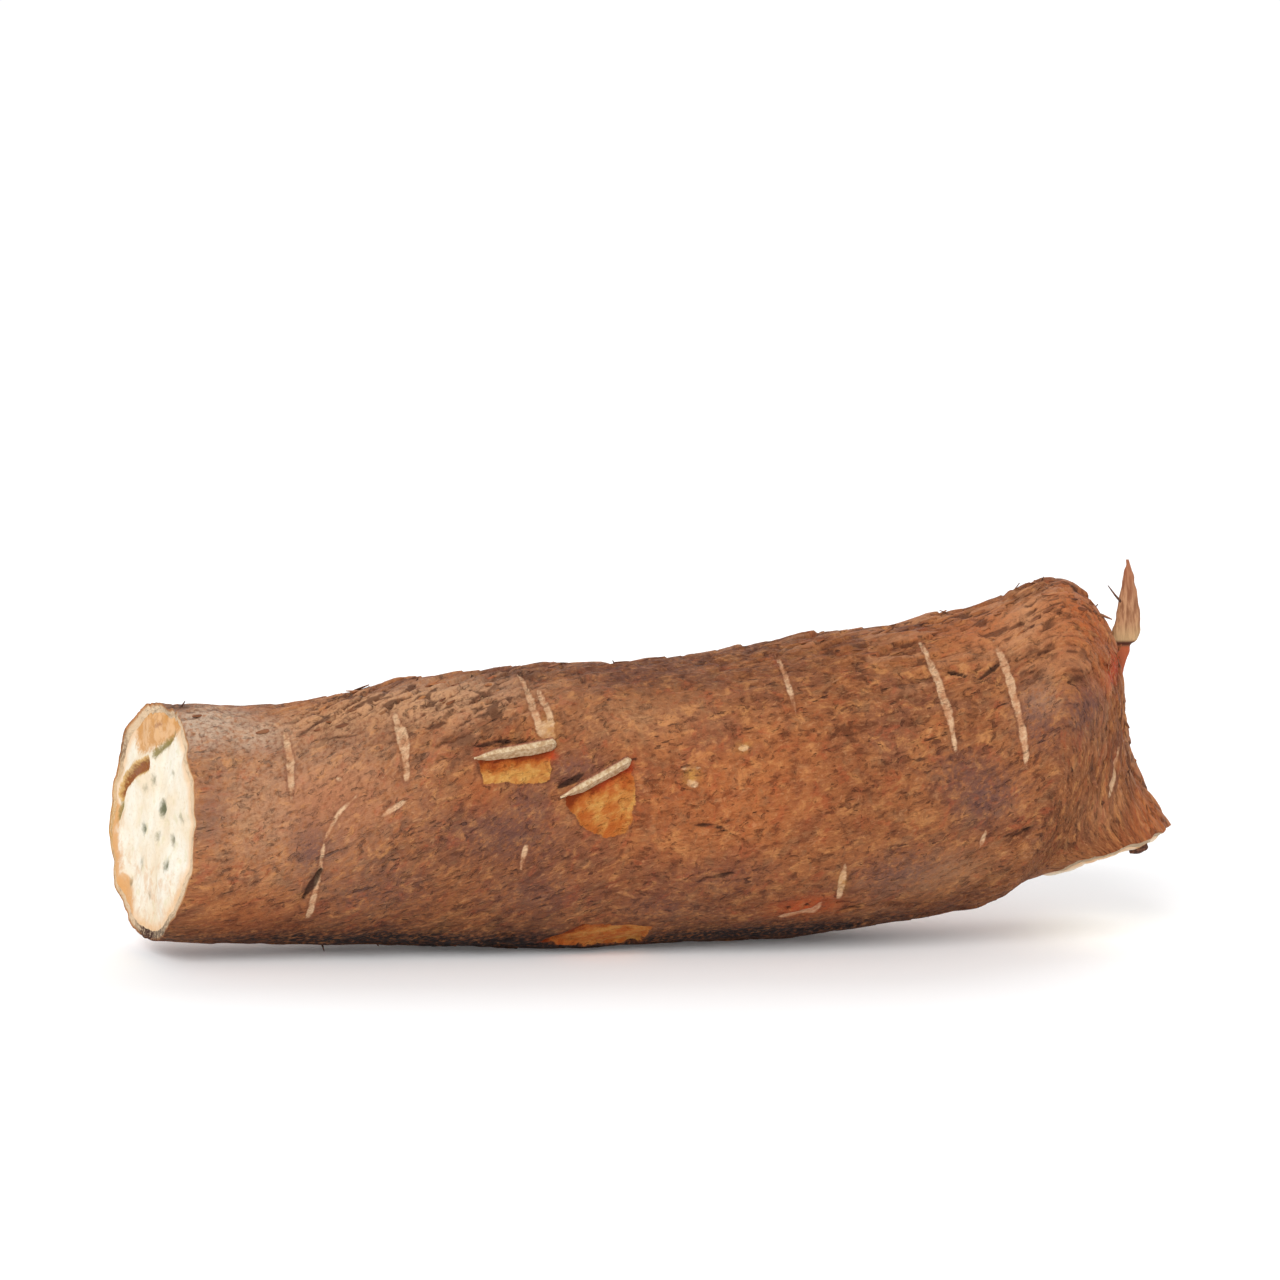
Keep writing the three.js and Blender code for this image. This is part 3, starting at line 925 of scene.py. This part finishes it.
class Paint:
    """A node material being put together."""

    def __init__(self, name, specular):
        self.material = bpy.data.materials.new(name)
        self.material.use_nodes = True
        self.nodes = self.material.node_tree.nodes
        self.links = self.material.node_tree.links
        self.shader = self.nodes["Principled BSDF"]
        self.shader.inputs["Specular IOR Level"].default_value = specular

    def put(self, socket, value):
        if isinstance(value, bpy.types.NodeSocket):
            self.links.new(value, socket)
        else:
            socket.default_value = value

    def mark(self, name):
        node = self.nodes.new("ShaderNodeAttribute")
        node.attribute_name = name
        return node.outputs["Vector" if name == "flow" else "Fac"]

    def frayed(self, name, source, reach, low=NOISE_LOW, high=NOISE_HIGH):
        """A mark with its edge moved in and out by up to reach, following source."""
        return self.math("ADD", self.mark(name), self.ease(source, low, high, -reach, reach))

    def scaled(self, vector, x, y=1.0, z=1.0):
        node = self.nodes.new("ShaderNodeVectorMath")
        node.operation = "MULTIPLY"
        self.put(node.inputs[0], vector)
        node.inputs[1].default_value = (x, y, z)
        return node.outputs[0]

    def noise(self, vector, size, detail=2.0, rough=0.55, warp=0.0):
        """Noise from 0 to 1 with lumps about size mm across."""
        node = self.nodes.new("ShaderNodeTexNoise")
        self.put(node.inputs["Vector"], vector)
        node.inputs["Scale"].default_value = 1 / (size * MM)
        node.inputs["Detail"].default_value = detail
        node.inputs["Roughness"].default_value = rough
        node.inputs["Distortion"].default_value = warp
        return node.outputs["Fac"]

    def ease(self, value, low, high, bottom=0.0, top=1.0):
        node = self.nodes.new("ShaderNodeMapRange")
        node.interpolation_type = "SMOOTHSTEP"
        for socket, number in zip(node.inputs[:5], (value, low, high, bottom, top)):
            self.put(socket, number)
        return node.outputs[0]

    def math(self, operation, a, b):
        node = self.nodes.new("ShaderNodeMath")
        node.operation = operation
        self.put(node.inputs[0], a)
        self.put(node.inputs[1], b)
        return node.outputs[0]

    def blend(self, share, a, b):
        node = self.nodes.new("ShaderNodeMix")
        node.data_type = "RGBA"
        self.put(node.inputs["Factor"], share)
        self.put(node.inputs[MIX_A], a)
        self.put(node.inputs[MIX_B], b)
        return node.outputs[MIX_OUT]

    def layers(self, base, *rows):
        """Colours laid over base in turn, each as source, low, high, strength and shade: none
        of it where source is at low, and strength of it where source is at high."""
        base = colour(*base) if isinstance(base, tuple) else base
        for source, low, high, strength, shade in rows:
            shade = colour(*shade) if isinstance(shade, tuple) else shade
            base = self.blend(self.ease(source, low, high, 0, strength), base, shade)
        return base

    def tints(self, base, patchy, **shades):
        """Base with the area of each named mark coloured, a little broken up by patchy."""
        broken = self.ease(patchy, 0.28, 0.64, 0.2, 0.95)
        for name, shade in shades.items():
            base = self.blend(self.math("MULTIPLY", self.mark(name), broken), base, colour(*shade))
        return base

    def finish(self, base, rough, dull, smooth, height, depth):
        """The colour, a roughness from dull down to smooth as rough grows, and bumps of
        height, depth mm deep."""
        self.put(self.shader.inputs["Base Color"], base)
        roughness = self.ease(rough, NOISE_LOW, NOISE_HIGH, dull, smooth)
        self.put(self.shader.inputs["Roughness"], roughness)
        bump = self.nodes.new("ShaderNodeBump")
        bump.inputs["Distance"].default_value = depth * MM
        self.put(bump.inputs["Height"], height)
        self.put(self.shader.inputs["Normal"], bump.outputs["Normal"])
        return self.material


def bark_ground(paint, flow):
    """The bark's colour before marks, its fine height and its finest noise. The colour is darker where the
    height dips and lighter where it rises: the bark's mottling, and partly painted shade in the dips.
    """
    broad = paint.noise(flow, 24, 2)
    dusky = paint.noise(flow, 13, 3, warp=0.5)
    cloud = paint.noise(flow, 6, 3, 0.6, warp=0.8)
    hue = paint.noise(flow, 3.8, 3, 0.6, warp=0.6)
    mottle = paint.noise(paint.scaled(flow, 0.75), 3.4, 5, 0.66, warp=0.5)
    spots = paint.noise(paint.scaled(flow, 0.65), 1.7, 3, 0.6, warp=0.7)
    fine = paint.noise(paint.scaled(flow, 0.4), 0.7, 4, 0.65)
    base = paint.layers(
        (176, 108, 62),
        (broad, 0.35, 0.65, 1, (154, 92, 54)),
        (dusky, 0.50, 0.68, 0.6, (132, 82, 60)),
        (cloud, 0.54, 0.66, 0.6, (196, 124, 72)),
        (cloud, 0.46, 0.34, 0.6, (134, 76, 50)),
        (hue, 0.54, 0.68, 0.55, (178, 86, 50)),
        (hue, 0.46, 0.32, 0.55, (150, 108, 72)),
        (mottle, 0.52, 0.67, 0.87, (209, 141, 84)),
        (mottle, 0.485, 0.335, 0.87, (108, 60, 34)),
        (spots, 0.59, 0.69, 0.7, (92, 49, 30)),
        (spots, 0.39, 0.28, 0.55, (215, 154, 104)),
        (fine, 0.52, 0.72, 0.45, (208, 142, 92)),
        (fine, 0.48, 0.28, 0.55, (98, 54, 34)),
    )
    places = paint.ease(paint.noise(flow, 7, 2), 0.50, 0.62, 0.1, 1)
    streaks = paint.noise(paint.scaled(flow, 0.28), 1.2, 2, 0.5, warp=0.3)
    dash = paint.math("MAXIMUM", places, paint.mark("coarse"))
    dash = paint.math("MULTIPLY", paint.ease(streaks, 0.65, 0.71), dash)
    base = paint.blend(paint.math("MULTIPLY", dash, 0.85), base, colour(66, 34, 22))
    height = paint.math("ADD", fine, paint.math("MULTIPLY", mottle, 1.6))
    height = paint.math("SUBTRACT", height, paint.ease(spots, 0.55, 0.72, 0, 0.8))
    return base, paint.math("SUBTRACT", height, dash), fine


def bark_material():
    paint = Paint("bark", specular=0.18)
    flow = paint.mark("flow")
    base, height, fine = bark_ground(paint, flow)
    edges = paint.noise(flow, 1.0, 3)
    soft = paint.noise(flow, 4.5, 5, 0.65)
    patchy = paint.noise(flow, 3.4, 3, 0.5, warp=0.8)
    tone, crack, rim = (paint.mark(name) for name in ("tone", "crack", "rim"))
    scar = paint.frayed("scar", soft, 0.25)
    bare = paint.frayed("bare", soft, 0.25, 0.25, 0.75)
    hinge = paint.frayed("hinge", soft, 0.2)
    notch = paint.frayed("notch", soft, 0.15)
    rind = paint.layers(
        (206, 140, 84), (rim, 0.10, 0.45, 1, (247, 216, 178)), (edges, 0.50, 0.72, 0.4, (230, 182, 132))
    )
    pale = paint.layers(
        (212, 152, 110), (soft, 0.40, 0.60, 1, (244, 202, 160)), (fine, 0.40, 0.70, 0.5, (176, 116, 78))
    )
    # The bare inner bark. hinge darkens it to deep red-orange: painted shadow of the lifted peel near that
    # side, and each patch's floor all over.
    inner = paint.layers(
        (212, 150, 74),
        (fine, 0.40, 0.70, 1, (226, 168, 92)),
        (patchy, 0.42, 0.62, 0.7, (196, 118, 54)),
        (hinge, 0.15, 0.60, 0.9, (186, 92, 30)),
        (hinge, 0.48, 0.78, 1, (140, 56, 12)),
    )
    base = paint.layers(base, (tone, 0.1, 0.9, 0.55, (204, 144, 104)), (tone, -0.1, -0.9, 0.5, (116, 66, 46)))
    base = paint.tints(base, edges, grey=(214, 184, 158), tan=(226, 168, 120), mauve=(114, 80, 74),
                       rust=(196, 100, 48))
    # Cracks, pits and scale borders, sunk in the relief, are darkened: their own dark and partly painted
    # shade in them. Then the rind at the cuts.
    base = paint.layers(base, (crack, 0.35, 0.95, 0.75, (82, 44, 28)), (rim, 0.02, 0.07, 1, rind))
    # Painted shade from the shade and dark marks, with the dark crust at the blunt cut.
    base = paint.tints(base, edges, shade=(84, 48, 34), dark=(40, 26, 25))
    # Scars: a painted shadow along their edges, then their pale fill.
    base = paint.layers(base, (scar, -0.8, -0.1, 0.35, (130, 74, 48)), (scar, -0.2, 0.35, 0.92, pale))
    base = paint.tints(base, edges, gold=(222, 166, 82))
    base = paint.layers(base, (bare, -0.30, -0.08, 0.35, (122, 68, 42)), (bare, -0.04, 0.08, 1, inner))
    base = paint.tints(base, edges, red=(196, 72, 36))
    # The notches near-black: partly painted shade in the groove.
    base = paint.layers(base, (notch, -0.3, 0.2, 0.85, (54, 32, 24)))
    return paint.finish(base, fine, 0.9, 0.66, height, 0.55)


def flake_material():
    paint = Paint("bark_flake", specular=0.25)
    base, height, fine = bark_ground(paint, paint.mark("flow"))
    tone = paint.mark("tone")
    base = paint.layers(base, (tone, 0, 1, 0.6, (206, 146, 104)), (tone, 0, -1, 0.7, (98, 54, 38)))
    return paint.finish(base, fine, 0.9, 0.7, height, 0.25)


def flesh_material():
    paint = Paint("flesh", specular=0.35)
    flow = paint.mark("flow")
    broad = paint.noise(flow, 12, 3)
    fine = paint.noise(flow, 0.9, 4, 0.6)
    broken = paint.noise(flow, 2.6, 4, 0.6, warp=0.5)
    stain = paint.frayed("stain", broken, 0.2)
    names = ("lobe", "olive", "crack", "strand")
    lobe, olive, crack, strand = (paint.frayed(name, fine, 0.12) for name in names)
    golden = paint.layers((208, 142, 58), (broken, 0.42, 0.60, 1, (230, 176, 118)))
    base = paint.layers(
        (254, 247, 230),
        (broad, 0.35, 0.65, 1, (247, 228, 198)),
        (fine, 0.5, 0.75, 0.6, (234, 210, 170)),
        (paint.noise(flow, 3.2, 2), 0.58, 0.72, 0.4, (226, 214, 166)),
        (paint.mark("edge"), 0.88, 0.99, 0.75, (244, 200, 152)),
        (stain, 0.1, 0.75, 0.9, (226, 162, 90)),
        (lobe, 0.15, 0.5, 0.9, golden),
        (lobe, 0.75, 1.0, 0.7, (166, 108, 66)),
        (olive, 0.2, 0.7, 0.9, (140, 124, 60)),
        (crack, 0.1, 0.45, 0.85, (216, 164, 70)),
        (crack, 0.4, 0.75, 1, (150, 84, 20)),
        (strand, 0.05, 1.0, 0.95, (94, 96, 58)),
    )
    return paint.finish(base, fine, 0.7, 0.5, fine, 0.25)


def peel_material():
    paint = Paint("peel", specular=0.3)
    fine = paint.noise(paint.mark("flow"), 0.8, 4, 0.6)
    edge = paint.layers((190, 152, 110), (fine, 0.35, 0.65, 1, (228, 202, 164)))
    under = paint.layers((168, 76, 24), (fine, 0.35, 0.65, 1, (206, 116, 48)))
    skin = paint.layers((112, 64, 44), (fine, 0.35, 0.65, 1, (160, 96, 64)))
    base = paint.blend(paint.mark("rind"), under, edge)
    base = paint.blend(paint.mark("bark_side"), base, skin)
    return paint.finish(base, fine, 0.8, 0.6, fine, 0.25)


def splinter_material():
    paint = Paint("splinter", specular=0.3)
    fibres = paint.noise(paint.scaled(paint.mark("flow"), 1, 1, 0.12), 0.6, 4, 0.6)
    height = paint.mark("height")
    base = paint.layers(
        (150, 98, 66),
        (fibres, 0.35, 0.65, 1, (206, 152, 110)),
        (height, 0.62, 1.0, 0.7, (164, 92, 62)),
        (height, 0.56, 0.40, 0.6, (222, 186, 134)),
        (height, 0.37, 0.345, 1, (190, 96, 58)),
    )
    crease = paint.math("MULTIPLY", paint.ease(height, 0.34, 0.365), paint.ease(height, 0.405, 0.375))
    base = paint.blend(crease, base, colour(92, 44, 26))
    return paint.finish(base, fibres, 0.85, 0.65, fibres, 0.3)


def rootlet_material():
    paint = Paint("rootlet", specular=0.3)
    fine = paint.noise(paint.mark("flow"), 0.7, 3, 0.6)
    base = paint.layers((72, 46, 36), (fine, 0.35, 0.65, 1, (128, 82, 58)))
    return paint.finish(base, fine, 0.9, 0.75, fine, 0.2)


FLOOR_GLOW = 0.06  # keeps the floor as white as the surround


def floor_material():
    paint = Paint("floor", specular=0.1)
    inputs = paint.shader.inputs
    where = paint.nodes.new("ShaderNodeTexCoord").outputs["Object"]
    base = paint.blend(paint.noise(where, 400), (0.93, 0.93, 0.935, 1), (0.95, 0.95, 0.955, 1))
    paint.put(inputs["Base Color"], base)
    inputs["Roughness"].default_value = 0.9
    inputs["Emission Color"].default_value = (1, 1, 1, 1)
    inputs["Emission Strength"].default_value = FLOOR_GLOW
    return paint.material


# ---- stage ----

def look_from(thing, place):
    """Puts a camera or lamp at place, turned towards AIM."""
    thing.location = place
    thing.rotation_mode = "QUATERNION"
    thing.rotation_quaternion = (AIM - place).to_track_quat("-Z", "Y")
    bpy.context.scene.collection.objects.link(thing)


def direction(azimuth, elevation):
    """From the object out towards a viewer there."""
    a, e = math.radians(azimuth), math.radians(elevation)
    return Vector((math.sin(a) * math.cos(e), -math.cos(a) * math.cos(e), math.sin(e)))


def camera():
    data = bpy.data.cameras.new("camera")
    data.lens = CAMERA_LENS
    data.clip_start, data.clip_end = 0.01, 20  # metres
    thing = bpy.data.objects.new("camera", data)
    look_from(thing, AIM + CAMERA_DISTANCE * direction(CAMERA_AZIMUTH, CAMERA_ELEVATION))
    bpy.context.scene.camera = thing


def floor_piece():
    mesh = bpy.data.meshes.new("floor")
    half = 6.0  # metres
    corners = [(-half, -half), (half, -half), (half, half), (-half, half)]
    mesh.from_pydata([(x, y, BOX_LOW.z) for x, y in corners], [], [(0, 1, 2, 3)])
    mesh.materials.append(floor_material())
    floor = bpy.data.objects.new("floor", mesh)
    bpy.context.scene.collection.objects.link(floor)


DIM_START, DIM_END = 0.30, 0.80  # how far up, from 0 at the horizon to 1 overhead
BRIGHT, DIM = 1.04, 0.45  # the surround's strength below and above those


def studio_light():
    """A white surround that dims from DIM_START up, and soft lamps before and behind."""
    world = bpy.data.worlds.new("studio")
    world.use_nodes = True
    nodes, links = world.node_tree.nodes, world.node_tree.links
    way = nodes.new("ShaderNodeSeparateXYZ")
    links.new(nodes.new("ShaderNodeTexCoord").outputs["Generated"], way.inputs[0])
    fade = nodes.new("ShaderNodeMapRange")
    for socket, number in zip(fade.inputs[1:5], (DIM_START, DIM_END, BRIGHT, DIM)):
        socket.default_value = number
    links.new(way.outputs["Z"], fade.inputs["Value"])
    links.new(fade.outputs[0], nodes["Background"].inputs["Strength"])
    nodes["Background"].inputs["Color"].default_value = (1, 1, 1, 1)
    bpy.context.scene.world = world
    bpy.context.scene.view_settings.view_transform = "Standard"
    lamp("key", 1.8, 36, direction(-28, 38))
    lamp("fill_behind", 1.3, 60, direction(150, 40))


def lamp(name, strength, softness, way):
    """A far lamp, softness degrees across."""
    data = bpy.data.lights.new(name, "SUN")
    data.energy = strength
    data.angle = math.radians(softness)
    look_from(bpy.data.objects.new(name, data), AIM + way)


# ---- the scene ----

def main():
    camera()
    floor_piece()
    studio_light()
    loft = Loft()
    skin = Skin(loft)
    blunt = Cut(skin, ring=0, outward=-1, relief=blunt_relief)
    neck = Cut(skin, ring=-1, outward=1, relief=neck_relief)
    skin_piece(skin, (blunt, neck), bark_material())
    flesh = flesh_material()
    flesh_piece("blunt_flesh", blunt, blunt_stains, flesh)
    flesh_piece("neck_flesh", neck, neck_stains, flesh, flip=True)
    peel = peel_material()
    for name, places in FLAPS.items():
        flap_piece(name, places, skin, peel)
    splinter_piece(splinter_material())
    flake_piece(skin, flake_material())
    rootlets = rootlet_material()
    rootlet_piece(skin, rootlets)
    neck_nub_piece(neck, rootlets)


main()
